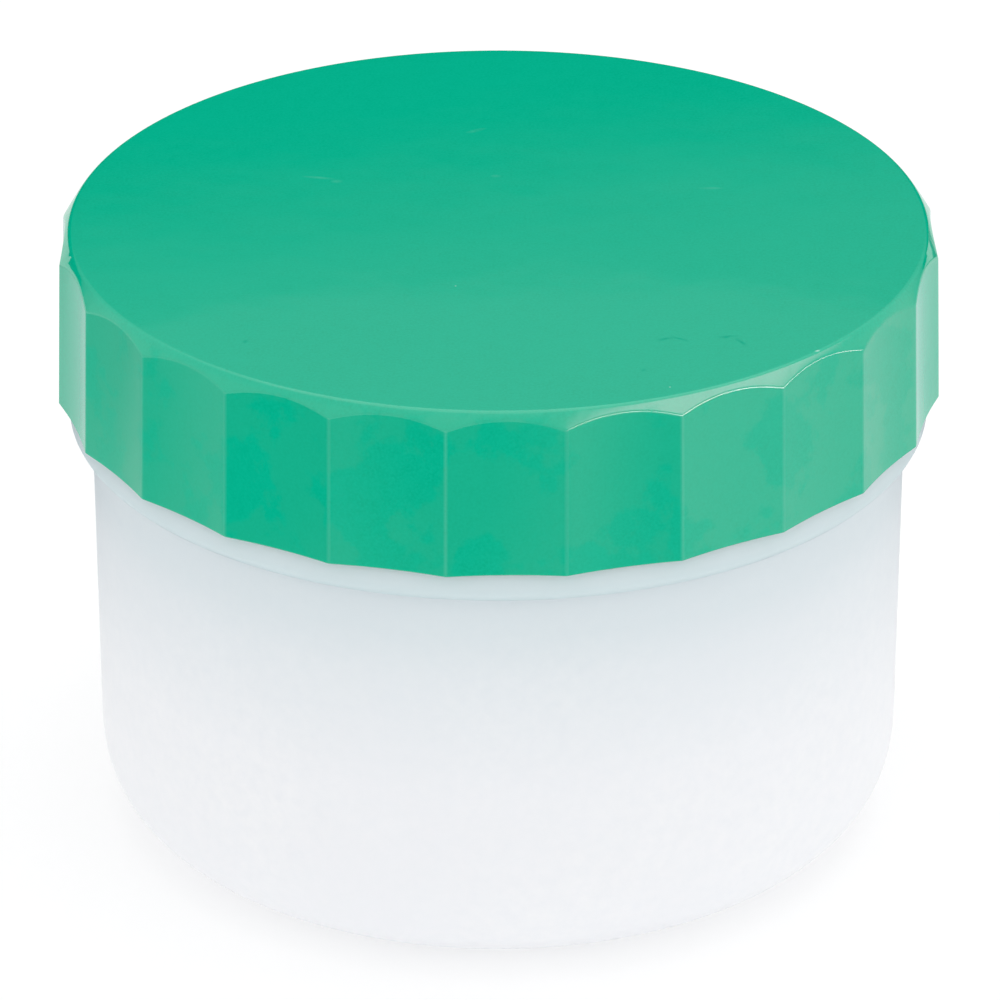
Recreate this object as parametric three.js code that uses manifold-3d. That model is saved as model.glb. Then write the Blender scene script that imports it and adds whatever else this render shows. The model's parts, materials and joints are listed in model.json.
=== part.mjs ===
// Paint jar: a round moulded jar with a threaded neck, a fluted screw cap and
// the sealing wad inside the cap. Millimetres, +Z up, the origin at the centre
// of the base, the cap screwed down.

import * as THREE from 'three';
import { mergeVertices } from 'three/addons/utils/BufferGeometryUtils.js';
import Module from 'manifold-3d';

const wasm = await Module();
wasm.setup();

const DEGREE = Math.PI / 180;

// Driving dimensions -----------------------------------------------------

// Jar body, outside
const COLLAR_RADIUS = 34.2;
const COLLAR_LOW_Z = 34.65;
const COLLAR_TOP_Z = 37.1;
const WALL_TOP_RADIUS = 32.4;    // under the collar
const WALL_FOOT_RADIUS = 32.2;   // where the rounded bottom begins
const BOTTOM_ROUND_WIDTH = 9.8;  // the rounded bottom, across and up
const BOTTOM_ROUND_HEIGHT = 8.8;
const ROUND_POWER = 2.5;         // 2 is an ellipse, more is squarer
const FOOT_RING_WIDTH = 2.9;
const FOOT_RECESS = 0.6;

// Jar body, neck and inside
const NECK_RADIUS = 31.75;
const RIM_Z = 47.8;
const RIM_CHAMFER = 0.4;
const MOUTH_RADIUS = 30.2;
const CAVITY_FOOT_RADIUS = 30.0;
const CAVITY_FLOOR_Z = 1.9;
const CAVITY_ROUND_WIDTH = 9.1;
const CAVITY_ROUND_HEIGHT = 7.4;

// Screw cap
const CAP_EDGE_Z = 37.4;         // the open edge, with the cap screwed down
const CAP_HEIGHT = 13.5;
const CAP_RADIUS = 35.1;         // over the ridges, at the open edge
const CAP_DRAFT = 1.65 * DEGREE;
const CAP_REST_TURN = 1 * DEGREE;
const CAP_TOP_RADIUS = 33.85;
const CHAMFER_SLOPE = 1.39;      // how far it drops for each millimetre outwards
const CAP_TOP_THICKNESS = 1.5;
const BORE_RADIUS = 33.1;
const BORE_LEAD_IN = 0.5;
const FLUTE_COUNT = 24;
const FLUTE_ARC_RADIUS = 41;     // each flute is a shallow arc in plan
const FLUTE_FLOOR_RADIUS = 34.6;

// Sealing wad
const LINER_RADIUS = 32.7;
const LINER_THICKNESS = 1.0;
const SEAL_GAP = 0.3;            // between rim and wad, and wad and cap

// Screw thread, right-handed, one start, on the neck and in the cap
const THREAD_PITCH = 4.2;
const THREAD_TURNS = 1.5;
const THREAD_BASE_WIDTH = 1.8;
const THREAD_CREST_WIDTH = 0.8;
const THREAD_ROOT_DEPTH = 0.3;   // how far a ridge is rooted in its wall
const THREAD_RUN_OUT = 14 * DEGREE;
const THREAD_END_HEIGHT = 0.2;   // of the full height, so the end is in the wall
const NECK_THREAD_CREST = 32.75;
const NECK_THREAD_START_Z = 39.6;
const CAP_THREAD_CREST = 32.2;
const CAP_THREAD_START_Z = 38.9;
const THREAD_DROP = 1.5;         // the cap's ridge lies this far under the neck's

// Cutting solids reach this far past what they cut
const CUT_MARGIN = 1;

// Facets
const ROUND_SEGMENTS = 72;
const FLUTE_SEGMENTS = 6;
const CORNER_SEGMENTS = 7;

// Solids -------------------------------------------------------------------

function solidOf(geometry) {
  geometry.deleteAttribute('normal');
  geometry.deleteAttribute('uv');
  const merged = mergeVertices(geometry);
  return new wasm.Manifold(new wasm.Mesh({
    numProp: 3,
    vertProperties: new Float32Array(merged.attributes.position.array),
    triVerts: new Uint32Array(merged.index.array),
  }));
}

function geometryOf(solid) {
  const mesh = solid.getMesh();
  const geometry = new THREE.BufferGeometry();
  geometry.setAttribute('position', new THREE.BufferAttribute(mesh.vertProperties, 3));
  geometry.setIndex(new THREE.BufferAttribute(mesh.triVerts, 1));
  geometry.computeVertexNormals();
  return geometry;
}

// A solid of revolution about Z. The profile is a list of [radius, z] that
// starts at the low end of the axis and goes round the outside to the top end.
function turned(profile, segments = ROUND_SEGMENTS) {
  const points = profile.map(([radius, z]) => new THREE.Vector2(radius, z));
  const geometry = new THREE.LatheGeometry(points, segments);
  geometry.rotateX(Math.PI / 2);
  return solidOf(geometry);
}

// A quarter of a superellipse, from the flat floor out and up to the wall.
function roundedCorner(wallRadius, floorZ, width, height) {
  const points = [];
  for (let i = 0; i <= CORNER_SEGMENTS; i += 1) {
    const angle = (i / CORNER_SEGMENTS) * Math.PI / 2;
    const across = Math.sin(angle) ** (2 / ROUND_POWER);
    const down = Math.cos(angle) ** (2 / ROUND_POWER);
    points.push([wallRadius - width * (1 - across), floorZ + height * (1 - down)]);
  }
  return points;
}

// One ridge of the screw thread: a trapezium drawn as (up, outward), extruded
// straight and then wound round Z, shallower towards both ends.
function threadRidge(wallRadius, crestRadius, startZ, startAngle) {
  const intoWall = Math.sign(wallRadius - crestRadius) * THREAD_ROOT_DEPTH;
  const rootRadius = wallRadius + intoWall;
  const section = new THREE.Shape([
    new THREE.Vector2(-THREAD_BASE_WIDTH / 2, rootRadius),
    new THREE.Vector2(-THREAD_CREST_WIDTH / 2, crestRadius),
    new THREE.Vector2(THREAD_CREST_WIDTH / 2, crestRadius),
    new THREE.Vector2(THREAD_BASE_WIDTH / 2, rootRadius),
  ]);
  const sweep = THREAD_TURNS * 2 * Math.PI;
  const ridge = new THREE.ExtrudeGeometry(section, {
    depth: sweep,
    steps: THREAD_TURNS * ROUND_SEGMENTS,
    bevelEnabled: false,
  });
  const position = ridge.attributes.position;
  for (let i = 0; i < position.count; i += 1) {
    const along = position.getZ(i);
    const fromEnd = Math.min(along, sweep - along) / THREAD_RUN_OUT;
    const height = THREE.MathUtils.clamp(fromEnd, THREAD_END_HEIGHT, 1);
    const radius = rootRadius + (position.getY(i) - rootRadius) * height;
    const angle = startAngle + along;
    const z = startZ + THREAD_PITCH * along / (2 * Math.PI) + position.getX(i);
    position.setXYZ(i, radius * Math.cos(angle), radius * Math.sin(angle), z);
  }
  return solidOf(ridge);
}

// Jar body -----------------------------------------------------------------

function jarBody() {
  const footRadius = WALL_FOOT_RADIUS - BOTTOM_ROUND_WIDTH;
  const recessRadius = footRadius - FOOT_RING_WIDTH;
  const outside = [
    [0, FOOT_RECESS],
    [recessRadius - FOOT_RECESS, FOOT_RECESS],
    [recessRadius, 0],
    ...roundedCorner(WALL_FOOT_RADIUS, 0, BOTTOM_ROUND_WIDTH, BOTTOM_ROUND_HEIGHT),
    [WALL_TOP_RADIUS, COLLAR_LOW_Z],
    [COLLAR_RADIUS, COLLAR_LOW_Z],
    [COLLAR_RADIUS, COLLAR_TOP_Z],
    [NECK_RADIUS, COLLAR_TOP_Z],
    [NECK_RADIUS, RIM_Z - RIM_CHAMFER],
    [NECK_RADIUS - RIM_CHAMFER, RIM_Z],
  ];
  const inside = [
    [0, CAVITY_FLOOR_Z],
    ...roundedCorner(CAVITY_FOOT_RADIUS, CAVITY_FLOOR_Z, CAVITY_ROUND_WIDTH,
      CAVITY_ROUND_HEIGHT),
    [MOUTH_RADIUS, RIM_Z - RIM_CHAMFER],
    [MOUTH_RADIUS + RIM_CHAMFER, RIM_Z],
  ];
  const shell = turned([...outside, ...inside.reverse()]);
  const thread = threadRidge(NECK_RADIUS, NECK_THREAD_CREST, NECK_THREAD_START_Z, 0);
  return shell.add(thread);
}

// Screw cap ----------------------------------------------------------------

// Distance from the axis to the outline, at an angle from a flute's middle.
function flutedRadius(angle) {
  const centre = FLUTE_FLOOR_RADIUS + FLUTE_ARC_RADIUS;
  const flute = centre * Math.cos(angle)
    - Math.sqrt(FLUTE_ARC_RADIUS ** 2 - (centre * Math.sin(angle)) ** 2);
  return Math.min(flute, CAP_RADIUS);
}

// The fluted skirt, a little narrower towards the top.
function capSkirt() {
  const step = 2 * Math.PI / (FLUTE_COUNT * FLUTE_SEGMENTS);
  const outline = new THREE.Shape();
  for (let i = 0; i < FLUTE_COUNT * FLUTE_SEGMENTS; i += 1) {
    const fromMiddle = ((i % FLUTE_SEGMENTS) - FLUTE_SEGMENTS / 2) * step;
    const radius = flutedRadius(fromMiddle);
    const angle = CAP_REST_TURN + (i - FLUTE_SEGMENTS / 2) * step;
    const point = [radius * Math.cos(angle), radius * Math.sin(angle)];
    if (i === 0) outline.moveTo(...point);
    else outline.lineTo(...point);
  }
  const skirt = new THREE.ExtrudeGeometry(outline, { depth: CAP_HEIGHT, bevelEnabled: false });
  const position = skirt.attributes.position;
  for (let i = 0; i < position.count; i += 1) {
    const z = position.getZ(i);
    const narrowing = 1 - z * Math.tan(CAP_DRAFT) / CAP_RADIUS;
    position.setXYZ(i, position.getX(i) * narrowing, position.getY(i) * narrowing, z);
  }
  return solidOf(skirt);
}

// The flat top and its chamfer, which cut the skirt off.
function capCrown() {
  const outerRadius = CAP_RADIUS + CUT_MARGIN;
  const outerHeight = CAP_HEIGHT - (outerRadius - CAP_TOP_RADIUS) * CHAMFER_SLOPE;
  return turned([
    [0, -CUT_MARGIN],
    [outerRadius, -CUT_MARGIN],
    [outerRadius, outerHeight],
    [CAP_TOP_RADIUS, CAP_HEIGHT],
    [0, CAP_HEIGHT],
  ], FLUTE_COUNT * FLUTE_SEGMENTS);
}

function capBore() {
  return turned([
    [0, -CUT_MARGIN],
    [BORE_RADIUS + BORE_LEAD_IN, -CUT_MARGIN],
    [BORE_RADIUS + BORE_LEAD_IN, 0],
    [BORE_RADIUS, BORE_LEAD_IN],
    [BORE_RADIUS, CAP_HEIGHT - CAP_TOP_THICKNESS],
    [0, CAP_HEIGHT - CAP_TOP_THICKNESS],
  ]);
}

function screwCap() {
  const shell = capSkirt().intersect(capCrown()).subtract(capBore());
  // The cap's ridge follows the neck's, THREAD_DROP below it all the way round.
  const climb = CAP_THREAD_START_Z + THREAD_DROP - NECK_THREAD_START_Z;
  const startAngle = 2 * Math.PI * climb / THREAD_PITCH;
  const thread = threadRidge(BORE_RADIUS, CAP_THREAD_CREST,
    CAP_THREAD_START_Z - CAP_EDGE_Z, startAngle);
  return shell.add(thread);
}

// Sealing wad --------------------------------------------------------------

function capLiner() {
  return turned([
    [0, 0],
    [LINER_RADIUS, 0],
    [LINER_RADIUS, LINER_THICKNESS],
    [0, LINER_THICKNESS],
  ]);
}

// Assembly -----------------------------------------------------------------

function piece(name, solid, z, look) {
  const mesh = new THREE.Mesh(geometryOf(solid), new THREE.MeshStandardMaterial(look));
  mesh.name = name;
  mesh.position.z = z;
  return mesh;
}

const jar = new THREE.Group();
jar.add(
  piece('jar_body', jarBody(), 0, { color: 0xeef1f2, roughness: 0.45, metalness: 0 }),
  piece('screw_cap', screwCap(), CAP_EDGE_Z, { color: 0x10b48c, roughness: 0.3, metalness: 0 }),
  piece('cap_liner', capLiner(), RIM_Z + SEAL_GAP, { color: 0xf2f0ea, roughness: 0.9, metalness: 0 }),
);

export default jar;
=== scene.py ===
"""Looks of the screw-top paint jar: the moulded jar, its fluted cap and the
sealing wad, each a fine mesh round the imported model. Metres, +Z up."""

import json
import math

import bmesh
import bpy
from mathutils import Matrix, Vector


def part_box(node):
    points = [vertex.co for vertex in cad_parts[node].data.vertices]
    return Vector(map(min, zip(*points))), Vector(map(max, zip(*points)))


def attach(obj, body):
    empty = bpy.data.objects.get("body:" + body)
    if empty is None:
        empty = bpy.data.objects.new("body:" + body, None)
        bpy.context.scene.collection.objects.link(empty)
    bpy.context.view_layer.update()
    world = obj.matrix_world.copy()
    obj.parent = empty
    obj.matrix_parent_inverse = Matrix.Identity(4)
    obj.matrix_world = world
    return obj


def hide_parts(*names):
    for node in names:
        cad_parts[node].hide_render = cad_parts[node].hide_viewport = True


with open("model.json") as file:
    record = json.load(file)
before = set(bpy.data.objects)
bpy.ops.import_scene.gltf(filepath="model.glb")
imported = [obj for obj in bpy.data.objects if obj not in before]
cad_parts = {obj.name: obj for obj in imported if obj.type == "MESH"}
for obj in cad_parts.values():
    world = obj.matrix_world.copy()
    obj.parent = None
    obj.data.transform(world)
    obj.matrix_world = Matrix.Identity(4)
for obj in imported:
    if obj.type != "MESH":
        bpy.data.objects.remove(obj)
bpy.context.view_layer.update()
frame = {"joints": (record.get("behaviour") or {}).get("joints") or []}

MM = 0.001
TURN = 2 * math.pi

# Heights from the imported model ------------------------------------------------

jar_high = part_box("jar_body")[1]
cap_low, cap_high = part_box("screw_cap")
liner_low, liner_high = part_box("cap_liner")

RIM_Z = jar_high.z
CAP_EDGE_Z = cap_low.z
CAP_TOP_Z = cap_high.z

# Jar ---------------------------------------------------------------------------

COLLAR_RADIUS = jar_high.x
COLLAR_LOW_Z = CAP_EDGE_Z - 2.75 * MM
COLLAR_TOP_Z = CAP_EDGE_Z - 0.05 * MM
WALL_TOP_RADIUS = 32.4 * MM
WALL_FOOT_RADIUS = 32.2 * MM
BOTTOM_ROUND = (9.8 * MM, 8.8 * MM)       # across and up
ROUND_POWER = 2.5                         # of the superellipse; 2 is an ellipse
FOOT_RING_WIDTH = 2.9 * MM
FOOT_RECESS = 0.6 * MM
FOOT_ROUNDING = 0.35 * MM
GATE_RADIUS = 1.4 * MM                    # the moulding gate under the base
GATE_HEIGHT = 0.25 * MM
GATE_ROUNDING = 0.08 * MM
UNDER_COLLAR_ROUNDING = 0.75 * MM
COLLAR_LOW_ROUNDING = 1.0 * MM
COLLAR_TOP_ROUNDING = 0.15 * MM
NECK_FOOT_ROUNDING = 0.35 * MM
RIM_ROUNDING = 0.45 * MM
NECK_RADIUS = 31.75 * MM
MOUTH_RADIUS = 30.2 * MM
CAVITY_RADIUS = 30.0 * MM
CAVITY_FLOOR_Z = 1.9 * MM
CAVITY_ROUND = (9.1 * MM, 7.4 * MM)

# Cap ---------------------------------------------------------------------------

FLUTES = 24
FLUTE_PITCH = TURN / FLUTES
FLUTE_ARC_RADIUS = 41 * MM
FLUTE_FLOOR_RADIUS = 34.6 * MM
RIDGE_ROUNDING = 0.025 * MM
CAP_REST_TURN = math.radians(1)
CAP_TOP_RADIUS = 33.85 * MM
RIDGE_RADIUS = 35.1 * MM
CAP_DRAFT = math.tan(math.radians(1.65)) / RIDGE_RADIUS
CHAMFER_SLOPE = 1.39                      # down for each step outwards
CAP_THICKNESS = 1.5 * MM
CAP_EDGE_ROUNDING = 0.12 * MM
ARC_ROUNDING = 0.6 * MM                   # where a flute meets the chamfer
CAP_TOP_ROUNDING = 0.4 * MM
CAP_TOP_BORDER = 8 * MM                   # of fine faces round the flat top
BORE_RADIUS = 33.1 * MM
BORE_LEAD_IN = 0.5 * MM
BORE_ROUNDING = 0.2 * MM

# Sealing wad -------------------------------------------------------------------

PRESS_DEPTH = 0.18 * MM                   # where the rim seals on it
PRESS_MARGIN = 0.3 * MM                   # of its slopes, past the rim on each side
PRESS_INSET = 0.2 * MM                    # and within the rim
PRESS_OUTER_ROUNDING = 0.15 * MM
WAD_ROUNDING = 0.2 * MM

# Screw thread --------------------------------------------------------------------

joints = {joint["name"]: joint for joint in frame["joints"]}
TURNS_TO_OPEN = joints["cap_turn"]["range_deg"][1] / 360
THREAD_PITCH = joints["cap_rise"]["range_m"][1] / TURNS_TO_OPEN
THREAD_SWEEP = 1.5 * TURN
THREAD_BASE = 0.9 * MM                    # half widths
THREAD_CREST = 0.35 * MM
THREAD_RUN_OUT = math.radians(16)
NECK_THREAD_HEIGHT = 1.0 * MM
NECK_THREAD_Z = 39.6 * MM
CAP_THREAD_HEIGHT = 0.9 * MM
CAP_THREAD_Z = 38.9 * MM
THREAD_DROP = 1.5 * MM

# Mesh density --------------------------------------------------------------------

JAR_COLUMNS = 288
FLUTE_COLUMNS = 16
WALL_ROW = 3 * MM
THREAD_ROW = 0.13 * MM
FILLET_STEPS = 5


# Profiles ------------------------------------------------------------------------

def fillet(before, corner, after, radius):
    """Points of the arc that rounds a corner between two straight runs."""
    here = Vector(corner[:2])
    back = (Vector(before[:2]) - here).normalized()
    on = (Vector(after[:2]) - here).normalized()
    half = back.angle(on) / 2
    centre = here + (back + on).normalized() * (radius / math.sin(half))
    reach = radius / math.tan(half)
    first = here + back * reach - centre
    last = here + on * reach - centre
    sweep = math.pi - 2 * half
    points = []
    for i in range(FILLET_STEPS + 1):
        t = i / FILLET_STEPS
        arm = (first * math.sin((1 - t) * sweep) + last * math.sin(t * sweep)) / math.sin(sweep)
        points.append(tuple(centre + arm))
    return points


def rounded(corners):
    """A profile from (radius, z) points; a third number rounds that corner."""
    points = []
    for i, corner in enumerate(corners):
        if len(corner) == 3:
            points += fillet(corners[i - 1], corner, corners[i + 1], corner[2])
        else:
            points.append(corner)
    return points


def superellipse(wall_radius, floor_z, size, steps=22):
    """The rounded bottom, from the flat floor out and up to the wall."""
    points = []
    for i in range(steps + 1):
        angle = i / steps * TURN / 4
        across = math.sin(angle) ** (2 / ROUND_POWER)
        down = math.cos(angle) ** (2 / ROUND_POWER)
        points.append((wall_radius - size[0] * (1 - across), floor_z + size[1] * (1 - down)))
    return points


def straight(start, end, longest):
    """Points along a straight run, without its ends."""
    count = math.ceil((Vector(end) - Vector(start)).length / longest)
    return [tuple(Vector(start).lerp(Vector(end), i / count)) for i in range(1, count)]


def smooth_step(x):
    x = min(max(x, 0), 1)
    return x * x * (3 - 2 * x)


def thread_share(z, angle, start_z, start_angle):
    """How far the thread stands out here, from 0 to 1."""
    share = 0
    along = (angle - start_angle) % TURN
    while along <= THREAD_SWEEP:
        across = abs(z - start_z - THREAD_PITCH * along / TURN)
        flank = smooth_step((THREAD_BASE - across) / (THREAD_BASE - THREAD_CREST))
        run_out = smooth_step(min(along, THREAD_SWEEP - along) / THREAD_RUN_OUT)
        share = max(share, flank * run_out)
        along += TURN
    return share


# Meshes --------------------------------------------------------------------------

def revolved(name, profile_at, angles):
    """A closed mesh round Z. profile_at(angle) gives the (radius, z) points at
    that angle, from the axis round the outside and back to the axis."""
    mesh = bpy.data.meshes.new(name)
    shape = bmesh.new()
    columns = []
    first_pole = last_pole = None
    for angle in angles:
        profile = profile_at(angle)
        if first_pole is None:
            first_pole = shape.verts.new((0, 0, profile[0][1]))
            last_pole = shape.verts.new((0, 0, profile[-1][1]))
        across, up = math.cos(angle), math.sin(angle)
        columns.append([shape.verts.new((r * across, r * up, z)) for r, z in profile[1:-1]])
    for i, column in enumerate(columns):
        following = columns[(i + 1) % len(columns)]
        shape.faces.new((first_pole, following[0], column[0]))
        for j in range(len(column) - 1):
            shape.faces.new((column[j], following[j], following[j + 1], column[j + 1]))
        shape.faces.new((last_pole, column[-1], following[-1]))
    shape.to_mesh(mesh)
    shape.free()
    mesh.shade_smooth()
    piece = bpy.data.objects.new(name, mesh)
    bpy.context.scene.collection.objects.link(piece)
    weighted = piece.modifiers.new("flat_faces", "WEIGHTED_NORMAL")
    weighted.weight = 100
    return piece


def even_angles(count):
    return [TURN * i / count for i in range(count)]


def make_jar():
    foot_radius = WALL_FOOT_RADIUS - BOTTOM_ROUND[0]
    recess_radius = foot_radius - FOOT_RING_WIDTH
    outside = rounded([
        (0, FOOT_RECESS - GATE_HEIGHT),
        (GATE_RADIUS - GATE_HEIGHT, FOOT_RECESS - GATE_HEIGHT, GATE_ROUNDING),
        (GATE_RADIUS, FOOT_RECESS, GATE_ROUNDING),
        (recess_radius - FOOT_RECESS, FOOT_RECESS, FOOT_ROUNDING),
        (recess_radius, 0, FOOT_ROUNDING),
        (foot_radius - 0.1 * MM, 0),
    ])
    bottom = superellipse(WALL_FOOT_RADIUS, 0, BOTTOM_ROUND)
    wall = straight(bottom[-1], (WALL_TOP_RADIUS, COLLAR_LOW_Z - 1 * MM), WALL_ROW)
    collar = rounded([
        bottom[-1],
        (WALL_TOP_RADIUS, COLLAR_LOW_Z, UNDER_COLLAR_ROUNDING),
        (COLLAR_RADIUS, COLLAR_LOW_Z, COLLAR_LOW_ROUNDING),
        (COLLAR_RADIUS, COLLAR_TOP_Z, COLLAR_TOP_ROUNDING),
        (NECK_RADIUS, COLLAR_TOP_Z, NECK_FOOT_ROUNDING),
        (NECK_RADIUS, RIM_Z),
    ])[1:-1]
    rim = rounded([
        (NECK_RADIUS, COLLAR_TOP_Z),
        (NECK_RADIUS, RIM_Z, RIM_ROUNDING),
        (MOUTH_RADIUS, RIM_Z, RIM_ROUNDING),
        (CAVITY_RADIUS, CAVITY_FLOOR_Z + CAVITY_ROUND[1]),
    ])[1:-1]
    neck = straight(collar[-1], rim[0], THREAD_ROW)
    cavity = superellipse(CAVITY_RADIUS, CAVITY_FLOOR_Z, CAVITY_ROUND)
    cavity.reverse()
    inner_wall = straight(rim[-1], cavity[0], WALL_ROW)
    below = outside + bottom + wall + collar
    above = rim + inner_wall + cavity + [(0, CAVITY_FLOOR_Z)]

    def profile_at(angle):
        threaded = []
        for radius, z in neck:
            share = thread_share(z, angle, NECK_THREAD_Z, 0)
            threaded.append((radius + NECK_THREAD_HEIGHT * share, z))
        return below + threaded + above

    return revolved("moulded_jar", profile_at, even_angles(JAR_COLUMNS))


def flute_radius(from_middle):
    """The fluted outline's radius, at an angle from a flute's middle."""
    centre = FLUTE_FLOOR_RADIUS + FLUTE_ARC_RADIUS
    reach = centre * math.sin(from_middle)
    arc = centre * math.cos(from_middle) - math.sqrt(FLUTE_ARC_RADIUS ** 2 - reach ** 2)
    rise = math.tan(math.asin(centre * math.sin(FLUTE_PITCH / 2) / FLUTE_ARC_RADIUS)
                    - FLUTE_PITCH / 2)
    # This falls to 0 at the ridge, and rounds the crest off there.
    to_ridge = (FLUTE_PITCH / 2 - abs(from_middle)) * FLUTE_FLOOR_RADIUS * rise
    return arc - (math.hypot(to_ridge, RIDGE_ROUNDING) - to_ridge)


def flute_angles():
    """Column angles, closer together towards each ridge."""
    angles = []
    for flute in range(FLUTES):
        for i in range(FLUTE_COLUMNS):
            share = math.sin(math.pi * (i / FLUTE_COLUMNS - 0.5))
            angles.append(CAP_REST_TURN + (flute + share / 2) * FLUTE_PITCH)
    return angles


def make_cap():
    height = CAP_TOP_Z - CAP_EDGE_Z
    ceiling = CAP_TOP_Z - CAP_THICKNESS
    bore_start = (BORE_RADIUS, ceiling, BORE_ROUNDING)
    ceiling_run = rounded([(0, ceiling), bore_start, (BORE_RADIUS, CAP_EDGE_Z)])[1:-1]
    bore_end = (BORE_RADIUS, CAP_EDGE_Z + BORE_LEAD_IN)
    bore = straight(ceiling_run[-1], bore_end, THREAD_ROW)
    thread_start = TURN * (CAP_THREAD_Z + THREAD_DROP - NECK_THREAD_Z) / THREAD_PITCH

    def profile_at(angle):
        from_middle = (angle - CAP_REST_TURN + FLUTE_PITCH / 2) % FLUTE_PITCH - FLUTE_PITCH / 2
        edge_radius = flute_radius(from_middle)
        # The skirt leans in as it rises, and meets the chamfer's cone at this height.
        lean = edge_radius * CAP_DRAFT
        cone = CAP_TOP_RADIUS + height / CHAMFER_SLOPE
        arc_height = (cone - edge_radius) / (1 / CHAMFER_SLOPE - lean)
        arc_radius = edge_radius - lean * arc_height
        threaded = []
        for radius, z in bore:
            share = thread_share(z, angle, CAP_THREAD_Z, thread_start)
            threaded.append((radius - CAP_THREAD_HEIGHT * share, z))
        outside = rounded([
            bore_end,
            (BORE_RADIUS + BORE_LEAD_IN, CAP_EDGE_Z, CAP_EDGE_ROUNDING),
            (edge_radius, CAP_EDGE_Z, CAP_EDGE_ROUNDING),
            (edge_radius - lean * height / 2, CAP_EDGE_Z + height / 2),
            (arc_radius, CAP_EDGE_Z + arc_height, ARC_ROUNDING),
            (CAP_TOP_RADIUS, CAP_TOP_Z, CAP_TOP_ROUNDING),
            (CAP_TOP_RADIUS - CAP_TOP_BORDER, CAP_TOP_Z),
            (0, CAP_TOP_Z),
        ])
        return [(0, ceiling)] + ceiling_run + threaded + outside

    return revolved("fluted_cap", profile_at, flute_angles())


def make_liner():
    """A foam disc, pressed in a little where the jar's rim seals on it."""
    radius = liner_high.x
    low, high = liner_low.z, liner_high.z
    pressed = low + PRESS_DEPTH
    profile = rounded([
        (0, low),
        (MOUTH_RADIUS - PRESS_MARGIN, low, WAD_ROUNDING),
        (MOUTH_RADIUS + PRESS_INSET, pressed, WAD_ROUNDING),
        (NECK_RADIUS - PRESS_INSET, pressed, WAD_ROUNDING),
        (NECK_RADIUS + PRESS_MARGIN, low, PRESS_OUTER_ROUNDING),
        (radius, low, WAD_ROUNDING),
        (radius, high, WAD_ROUNDING),
        (0, high),
    ])
    return revolved("foam_wad", lambda angle: profile, even_angles(JAR_COLUMNS))


# Materials -----------------------------------------------------------------------

def node(tree, kind, inputs=None, **settings):
    made = tree.nodes.new(kind)
    for key, value in settings.items():
        setattr(made, key, value)
    for key, value in (inputs or {}).items():
        if isinstance(value, bpy.types.NodeSocket):
            tree.links.new(value, made.inputs[key])
        else:
            made.inputs[key].default_value = value
    return made


def new_material(name):
    material = bpy.data.materials.new(name)
    material.use_nodes = True
    tree = material.node_tree
    return material, tree, tree.nodes["Principled BSDF"]


def noise(tree, place, scale, detail=3, roughness=0.5):
    made = node(tree, "ShaderNodeTexNoise", {
        "Vector": place, "Scale": scale, "Detail": detail, "Roughness": roughness})
    return made.outputs["Fac"]


def spread(tree, value, low, high, from_low=0.3, from_high=0.7):
    """value from one range to another, held at its ends."""
    made = node(tree, "ShaderNodeMapRange", {
        "Value": value, "From Min": from_low, "From Max": from_high,
        "To Min": low, "To Max": high})
    return made.outputs["Result"]


def maths(tree, operation, *values):
    return node(tree, "ShaderNodeMath", dict(enumerate(values)), operation=operation).outputs[0]


def tinted(tree, share, first, second):
    mix = node(tree, "ShaderNodeMix", {"Factor": share}, data_type="RGBA")
    for index, colour in ((6, first), (7, second)):
        if isinstance(colour, bpy.types.NodeSocket):
            tree.links.new(colour, mix.inputs[index])
        else:
            mix.inputs[index].default_value = (*colour, 1)
    return mix.outputs[2]


def ramp(tree, share, stops):
    """Greys along a line of (place, grey) stops."""
    made = node(tree, "ShaderNodeValToRGB", {"Fac": share})
    elements = made.color_ramp.elements
    while len(elements) < len(stops):
        elements.new(1)
    for element, (place, grey) in zip(elements, stops):
        element.position = place
        element.color = (grey, grey, grey, 1)
    return made.outputs["Color"]


def bump(tree, height, distance, strength=1.0, before=None):
    inputs = {"Height": height, "Distance": distance, "Strength": strength}
    if before is not None:
        inputs["Normal"] = before
    return node(tree, "ShaderNodeBump", inputs).outputs["Normal"]


MARK_DEPTH = 0.3 * MM                     # how far a mark reaches through the lid


def lid_marks(tree, place, marks):
    """Soft marks on the lid: the strongest share of any mark, from 0 to 1.
    Each mark is x, y, half length, half width in mm and its angle in degrees."""
    share = 0
    for x, y, length, width, angle in marks:
        inside = node(tree, "ShaderNodeMapping", {
            "Vector": place,
            "Location": (x * MM, y * MM, CAP_TOP_Z),
            "Rotation": (0, 0, math.radians(angle)),
            "Scale": (length * MM, width * MM, MARK_DEPTH)}, vector_type="TEXTURE")
        spot = node(tree, "ShaderNodeTexGradient", {"Vector": inside.outputs["Vector"]},
                    gradient_type="SPHERICAL")
        share = maths(tree, "MAXIMUM", share, spot.outputs["Fac"])
    return share


def ridge_share(tree, place):
    """1 on the crests between the flutes, 0 elsewhere."""
    parts = node(tree, "ShaderNodeSeparateXYZ", {"Vector": place})
    flat = node(tree, "ShaderNodeCombineXYZ", {"X": parts.outputs["X"], "Y": parts.outputs["Y"]})
    radius = node(tree, "ShaderNodeVectorMath", {0: flat.outputs["Vector"]},
                  operation="LENGTH").outputs["Value"]
    lean = CAP_DRAFT * RIDGE_RADIUS
    foot = maths(tree, "MULTIPLY_ADD", parts.outputs["Z"], lean, -lean * CAP_EDGE_Z)
    reach = maths(tree, "ADD", radius, foot)
    crest = flute_radius(FLUTE_PITCH / 2)
    return spread(tree, reach, 0, 1, crest - 0.04 * MM, crest)


PLASTIC_IOR = 1.49
CLOUD_SCALE = 60                          # of the noises that both plastics share
MOTTLE_SCALE = 900

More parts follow.
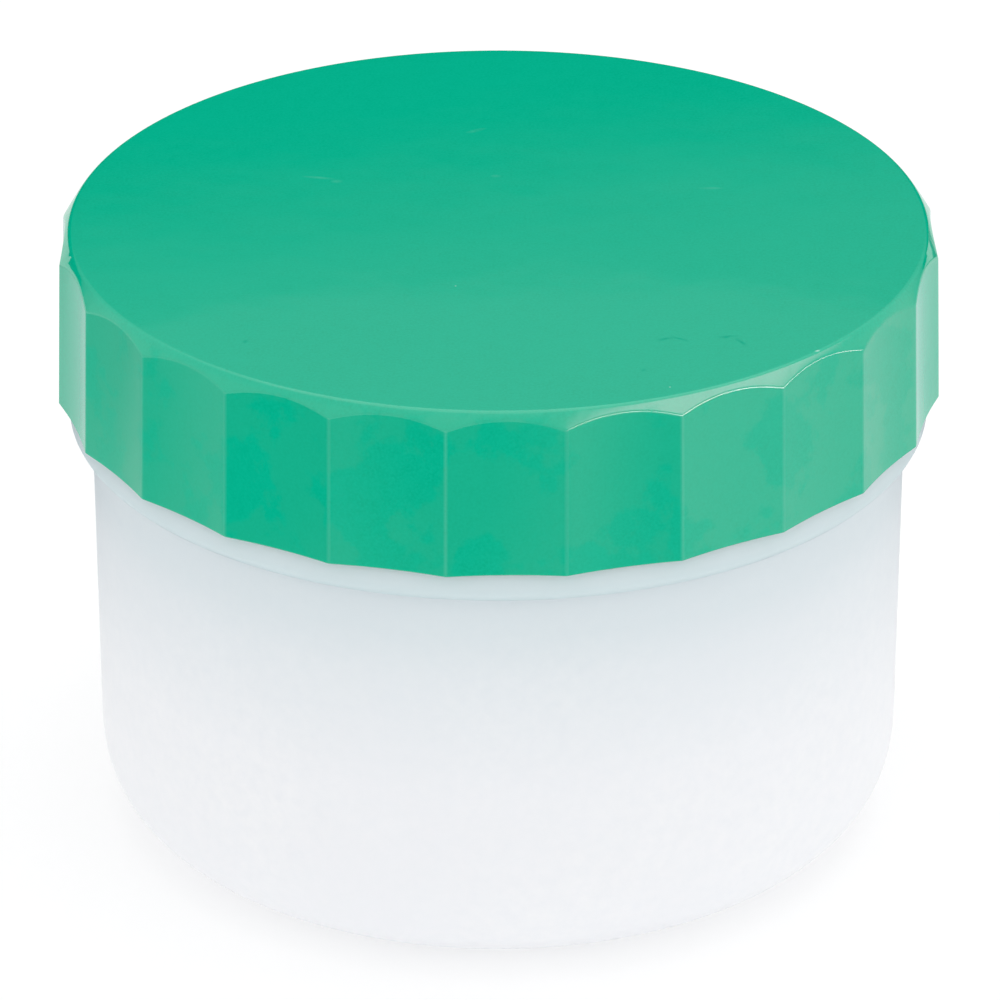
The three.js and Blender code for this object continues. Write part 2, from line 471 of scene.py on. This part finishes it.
# Marks on the lid, as lid_marks takes them: pale smudges, dark nicks, and pale specks, the last of
# them a painted glint on the lid's top edge.
SMUDGES = (
    (-12.9, 7.6, 0.55, 0.4, 0),
    (-14.3, 8.3, 1.5, 0.3, -12),
    (-1.8, 17.5, 1.0, 0.35, 30),
    (-0.2, 8.6, 0.5, 0.35, 0),
    (16.9, 6.3, 1.2, 0.3, 0),
)
NICKS = (
    (-18.9, -21.4, 0.4, 0.25, 40),
    (13.1, -21.0, 1.0, 0.22, 30),
    (14.2, -21.0, 1.0, 0.2, -35),
    (17.9, -20.6, 1.1, 0.18, 5),
    (18.9, -21.6, 0.9, 0.25, -65),
    (11.4, -26.4, 0.35, 0.3, 20),
)
SPECKS_AND_GLINT = (
    (12.95, -29.7, 0.09, 0.09, 0),
    (-3.3, -11.9, 0.09, 0.09, 0),
    # A painted glint on the lid's top edge.
    (24.3, -23.4, 0.3, 0.12, 35),
)


def ragged(tree, place, reach):
    """The place moved about at random, so that a mark there gets a ragged outline."""
    stir = node(tree, "ShaderNodeTexNoise", {"Vector": place, "Scale": 1300})
    moved = node(tree, "ShaderNodeVectorMath", {
        0: stir.outputs["Color"], 1: (reach, reach, 0), 2: place}, operation="MULTIPLY_ADD")
    return moved.outputs["Vector"]


def reflection_patches(tree, place):
    """Two shares that are both 0 on the lid: dark patches on the sides, and the rest of the sides,
    which gets a painted reflection of the floor.
    """
    height = node(tree, "ShaderNodeSeparateXYZ", {"Vector": place}).outputs["Z"]
    sides = spread(tree, height, 1, 0, CAP_TOP_Z - 0.6 * MM, CAP_TOP_Z - 0.3 * MM)
    blotchy = noise(tree, place, 160, detail=5, roughness=0.6)
    patches = spread(tree, blotchy, 1, 0, 0.45, 0.5)
    dark = maths(tree, "MULTIPLY", sides, patches)
    return dark, maths(tree, "SUBTRACT", sides, dark)


def green_plastic():
    material, tree, shader = new_material("green_polypropylene")
    place = node(tree, "ShaderNodeTexCoord").outputs["Object"]
    mottle = noise(tree, place, MOTTLE_SCALE, detail=4, roughness=0.65)
    clouds = noise(tree, place, CLOUD_SCALE)
    grain = noise(tree, place, 4500, detail=2)
    dark, painted_reflection = reflection_patches(tree, place)
    smudges = maths(tree, "MULTIPLY", lid_marks(tree, place, SMUDGES),
                    spread(tree, mottle, 0.1, 0.4))
    nicks = lid_marks(tree, ragged(tree, place, 0.7 * MM), NICKS)
    # Painted highlight: pale lines along the ridges between the flutes.
    crests = maths(tree, "MULTIPLY", ridge_share(tree, place), 0.09)

    colour = tinted(tree, spread(tree, mottle, 0, 1), (0, 0.4, 0.231), (0.001, 0.434, 0.259))
    colour = tinted(tree, spread(tree, grain, 0, 1), colour, (0.003, 0.455, 0.275))
    colour = tinted(tree, spread(tree, clouds, 0, 0.35), colour, (0.001, 0.455, 0.278))
    # Painted reflection of the floor on the cap's sides, left out in the dark patches.
    colour = tinted(tree, maths(tree, "MULTIPLY", painted_reflection, 0.35), colour, (0.02, 0.437, 0.255))
    colour = tinted(tree, smudges, colour, (0.12, 0.55, 0.4))
    colour = tinted(tree, maths(tree, "MULTIPLY", nicks, 1.1), colour, (0, 0.36, 0.22))
    # Pale specks, and a painted glint on the top edge.
    colour = tinted(tree, lid_marks(tree, place, SPECKS_AND_GLINT), colour, (0.4, 0.7, 0.6))
    # The painted highlight on the ridges.
    colour = tinted(tree, crests, colour, (0.35, 0.7, 0.6))
    tree.links.new(colour, shader.inputs["Base Color"])

    # The shine is a little duller in the dark patches, and much duller in the nicks.
    dulled = maths(tree, "MAXIMUM", maths(tree, "MULTIPLY", dark, 0.14),
                   maths(tree, "MULTIPLY", nicks, 0.5))
    tree.links.new(maths(tree, "SUBTRACT", 0.52, dulled), shader.inputs["Specular IOR Level"])
    tree.links.new(spread(tree, mottle, 0.022, 0.038), shader.inputs["Roughness"])
    shader.inputs["IOR"].default_value = PLASTIC_IOR
    waves = bump(tree, clouds, 0.018 * MM)
    tree.links.new(bump(tree, noise(tree, place, 2500), 0.0004 * MM, before=waves),
                   shader.inputs["Normal"])
    return material


# Height in mm, with how much painted shade, grey-green as from the green cap, the
# milky plastic gets there: more towards the cap and most of all on the thick collar, and clear
# again on the neck.
PAINTED_CAP_SHADE = ((17, 0), (27, 0.22), (31, 0.4), (34.4, 0.42), (35, 0.86), (36, 0.68),
            (37.5, 0.68), (42, 0.04))


def milky_plastic():
    material, tree, shader = new_material("milky_polypropylene")
    place = node(tree, "ShaderNodeTexCoord").outputs["Object"]
    mottle = noise(tree, place, MOTTLE_SCALE, detail=4, roughness=0.65)
    clouds = noise(tree, place, CLOUD_SCALE)
    grain = noise(tree, place, 2500, detail=2)
    height = node(tree, "ShaderNodeSeparateXYZ", {"Vector": place}).outputs["Z"]
    painted_shade = ramp(tree, maths(tree, "DIVIDE", height, RIM_Z),
                 [(z * MM / RIM_Z, grey) for z, grey in PAINTED_CAP_SHADE])
    colour = tinted(tree, spread(tree, clouds, 0, 1), (0.87, 0.88, 0.915), (0.9, 0.908, 0.935))
    colour = tinted(tree, spread(tree, mottle, 0, 1), colour, (0.86, 0.875, 0.91))
    # Painted shade of the cap, grey-green, laid on by height.
    colour = tinted(tree, painted_shade, colour, (0.54, 0.665, 0.685))
    tree.links.new(colour, shader.inputs["Base Color"])
    tree.links.new(spread(tree, grain, 0.36, 0.46), shader.inputs["Roughness"])
    shader.inputs["IOR"].default_value = PLASTIC_IOR
    shader.inputs["Specular IOR Level"].default_value = 0.2
    # A clear skin that takes up a little light, so the wall is greyer seen edge on:
    # a painted shade along the outline, stronger towards the cap as the skin grows.
    tree.links.new(spread(tree, height, 0, 1, 10 * MM, 30 * MM), shader.inputs["Coat Weight"])
    shader.inputs["Coat Roughness"].default_value = 0.45
    shader.inputs["Coat IOR"].default_value = 1.02
    shader.inputs["Coat Tint"].default_value = (0.958, 0.966, 0.97, 1)
    shader.inputs["Subsurface Weight"].default_value = 0.6
    shader.inputs["Subsurface Radius"].default_value = (1.0, 1.0, 1.0)
    shader.inputs["Subsurface Scale"].default_value = 3 * MM
    tree.links.new(bump(tree, grain, 0.004 * MM), shader.inputs["Normal"])
    return material


def foam():
    material, tree, shader = new_material("white_foam")
    place = node(tree, "ShaderNodeTexCoord").outputs["Object"]
    cells = node(tree, "ShaderNodeTexVoronoi", {"Vector": place, "Scale": 2200}).outputs["Distance"]
    clouds = noise(tree, place, 90)
    colour = tinted(tree, spread(tree, clouds, 0, 1), (0.80, 0.79, 0.76), (0.86, 0.85, 0.82))
    colour = tinted(tree, spread(tree, cells, 0, 0.25, 0, 0.8), colour, (0.62, 0.61, 0.58))
    tree.links.new(colour, shader.inputs["Base Color"])
    tree.links.new(spread(tree, cells, 0.7, 0.9, 0, 0.8), shader.inputs["Roughness"])
    tree.links.new(bump(tree, cells, 0.03 * MM), shader.inputs["Normal"])
    return material


def floor_paper():
    """Glows a little, so the jar's shadow on it stays soft."""
    material, tree, shader = new_material("pale_floor")
    place = node(tree, "ShaderNodeTexCoord").outputs["Object"]
    colour = tinted(tree, noise(tree, place, 30), (0.5, 0.5, 0.5), (0.51, 0.51, 0.51))
    tree.links.new(colour, shader.inputs["Base Color"])
    shader.inputs["Roughness"].default_value = 0.9
    shader.inputs["Specular IOR Level"].default_value = 0.1
    shader.inputs["Emission Color"].default_value = (1, 1, 1, 1)
    shader.inputs["Emission Strength"].default_value = 0.5
    return material


# Stage ---------------------------------------------------------------------------

def make_floor():
    bpy.ops.mesh.primitive_plane_add(size=6)
    floor = bpy.context.object
    floor.name = "floor"
    floor.data.materials.append(floor_paper())


def outward(azimuth, elevation):
    """A direction from the jar. Azimuth is from the camera's side to +X."""
    a, e = math.radians(azimuth), math.radians(elevation)
    return Vector((math.sin(a) * math.cos(e), -math.cos(a) * math.cos(e), math.sin(e)))


def face_jar(thing, place):
    aim = Vector((0, 0, CAP_EDGE_Z))
    thing.location = aim + place
    thing.rotation_mode = "QUATERNION"
    thing.rotation_quaternion = place.to_track_quat("Z", "Y")


def softbox(name, azimuth, elevation, distance, size, radiance):
    """A round lamp that faces the jar. Its power is pi times its radiance and area."""
    light = bpy.data.lights.new(name, "AREA")
    light.shape = "DISK"
    light.size = size
    light.energy = radiance * math.pi * math.pi / 4 * size ** 2
    lamp = bpy.data.objects.new(name, light)
    bpy.context.scene.collection.objects.link(lamp)
    face_jar(lamp, outward(azimuth, elevation) * distance)
    lamp.visible_camera = False


def make_lamps():
    softbox("overhead", azimuth=160, elevation=78, distance=1.3, size=1.4, radiance=0.8)
    softbox("back_disc", azimuth=179, elevation=45, distance=1.5, size=1.04, radiance=0.12)
    softbox("right_fill", azimuth=50, elevation=25, distance=1.5, size=1.0, radiance=0.25)


def soft_glow(radiance, colour):
    """Brightest in the middle of a panel and clear at its edge."""
    material = bpy.data.materials.new("soft_glow")
    material.use_nodes = True
    tree = material.node_tree
    tree.nodes.remove(tree.nodes["Principled BSDF"])
    place = node(tree, "ShaderNodeTexCoord").outputs["Object"]
    inwards = node(tree, "ShaderNodeTexGradient", {"Vector": place}, gradient_type="SPHERICAL")
    share = node(tree, "ShaderNodeMapRange", {"Value": inwards.outputs["Fac"], "From Max": 0.75},
                 interpolation_type="SMOOTHSTEP").outputs["Result"]
    clear = node(tree, "ShaderNodeBsdfTransparent").outputs[0]
    glow = node(tree, "ShaderNodeEmission", {
        "Color": (*colour, 1), "Strength": radiance}).outputs[0]
    mix = node(tree, "ShaderNodeMixShader", {"Fac": share, 1: clear, 2: glow}).outputs[0]
    tree.links.new(mix, tree.nodes["Material Output"].inputs["Surface"])
    return material


def shine_panel(name, width, height, radiance, colour):
    """A soft-edged panel that only shows in the shine of the cap."""
    bpy.ops.mesh.primitive_plane_add(size=2)
    panel = bpy.context.object
    panel.name = name
    panel.scale = (width / 2, height / 2, 1)
    panel.data.materials.append(soft_glow(radiance, colour))
    panel.visible_camera = False
    panel.visible_diffuse = False
    panel.visible_shadow = False
    panel.light_linking.receiver_collection = bpy.data.collections["shiny"]
    return panel


def make_tent_panels():
    """A wide light and a low strip on the right, and a large light overhead."""
    right = shine_panel("right_panel", width=1.9, height=0.75, radiance=6.5, colour=(1, 0.6, 0.75))
    face_jar(right, outward(azimuth=62, elevation=39))
    strip = shine_panel("right_strip", width=2.2, height=0.24, radiance=22, colour=(1, 0.7, 0.8))
    face_jar(strip, outward(azimuth=58, elevation=6))
    top = shine_panel("top_panel", width=2.2, height=2.2, radiance=2.2, colour=(1, 0.85, 0.85))
    face_jar(top, outward(azimuth=0, elevation=88))


WHITE = (1, 1, 1)

# Name, azimuth in degrees, then in metres the distance from the jar's axis, the
# width and the length, and last the brightness and colour.
FLOOR_PANELS = (
    ("floor_shade", -47, 0.145, 0.29, 0.2, 0.0, WHITE),
    ("floor_shade_front", 12, 0.145, 0.16, 0.18, 0.05, WHITE),
    ("floor_dusk", -108, 0.145, 0.2, 0.16, 0.35, WHITE),
    ("floor_dusk_left", -140, 0.106, 0.14, 0.1, 0.81, (0.84, 1, 0.98)),
    ("floor_dusk_right", 144, 0.106, 0.14, 0.1, 0.9, (0.82, 1, 0.98)),
    ("floor_far_shade", 146, 0.56, 0.6, 0.5, 0.1, WHITE),
)


def make_floor_panels():
    """Dimmer stretches of floor, as the flutes mirror them."""
    for i, (name, azimuth, distance, width, length, radiance, colour) in enumerate(FLOOR_PANELS):
        panel = shine_panel(name, width, length, radiance, colour)
        panel.location = outward(azimuth, 0) * distance
        # Each lies a little higher than the one before, so that no two coincide.
        panel.location.z = (0.5 + 0.3 * i) * MM
        panel.rotation_euler.z = math.radians(azimuth)


# Elevation behind the jar in degrees, with the brightness seen there.
BACKDROP = ((24.1, 0.0), (24.5, 0.07), (24.85, 0.155), (25.2, 0.19), (27.0, 0.27), (50.0, 1.0))


def make_world():
    """White all round and from below, but dark low down right behind the jar.
    The camera sees white."""
    world = bpy.data.worlds.new("studio")
    bpy.context.scene.world = world
    world.use_nodes = True
    tree = world.node_tree
    shown = tree.nodes["Background"]
    shown.inputs["Color"].default_value = (1, 1, 1, 1)
    direction = node(tree, "ShaderNodeTexCoord").outputs["Generated"]
    # Straight behind the jar, lean is half of the elevation's sine less its cosine.
    # aside grows towards both sides, so the dark band stays right behind the jar.
    lean = node(tree, "ShaderNodeVectorMath", {0: direction, 1: (0.08, -0.5, 0.5)},
                operation="DOT_PRODUCT").outputs["Value"]
    parts = node(tree, "ShaderNodeSeparateXYZ", {"Vector": direction}).outputs
    aside = maths(tree, "MULTIPLY_ADD", maths(tree, "POWER", parts["X"], 4), 0.4, 0.5)
    below = spread(tree, parts["Z"], 0.9, 0, -0.15, -0.05)
    stops = []
    for elevation, grey in BACKDROP:
        angle = math.radians(elevation)
        stops.append((0.5 + 0.5 * (math.sin(angle) - math.cos(angle)), grey))
    glow = ramp(tree, maths(tree, "ADD", lean, aside), stops)
    lit = node(tree, "ShaderNodeBackground", {"Color": maths(tree, "MAXIMUM", glow, below)})
    camera_ray = node(tree, "ShaderNodeLightPath").outputs["Is Camera Ray"]
    mix = node(tree, "ShaderNodeMixShader", {
        "Fac": camera_ray, 1: lit.outputs[0], 2: shown.outputs[0]})
    tree.links.new(mix.outputs[0], tree.nodes["World Output"].inputs["Surface"])


def make_camera():
    elevation = math.radians(26.96)
    distance = 604.3 * MM
    target = Vector((0.14 * MM, 0, 26.24 * MM))
    data = bpy.data.cameras.new("camera")
    data.sensor_width = 36
    data.lens = 270.65
    data.clip_start = 0.05
    data.clip_end = 20
    camera = bpy.data.objects.new("camera", data)
    bpy.context.scene.collection.objects.link(camera)
    away = Vector((0, -math.cos(elevation), math.sin(elevation)))
    camera.location = target + away * distance
    camera.rotation_mode = "QUATERNION"
    camera.rotation_quaternion = away.to_track_quat("Z", "Y")
    bpy.context.scene.camera = camera


# The object ------------------------------------------------------------------------

def finish_piece(piece, material, body, cad_node):
    piece.data.materials.append(material)
    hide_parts(cad_node)
    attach(piece, body)


finish_piece(make_jar(), milky_plastic(), "jar", "jar_body")
cap = make_cap()
finish_piece(cap, green_plastic(), "cap", "screw_cap")
finish_piece(make_liner(), foam(), "liner", "cap_liner")

make_floor()
make_world()
# The shine panels light only what is in this collection.
bpy.data.collections.new("shiny").objects.link(cap)
make_lamps()
make_tent_panels()
make_floor_panels()
make_camera()
bpy.context.scene.view_settings.view_transform = "Standard"
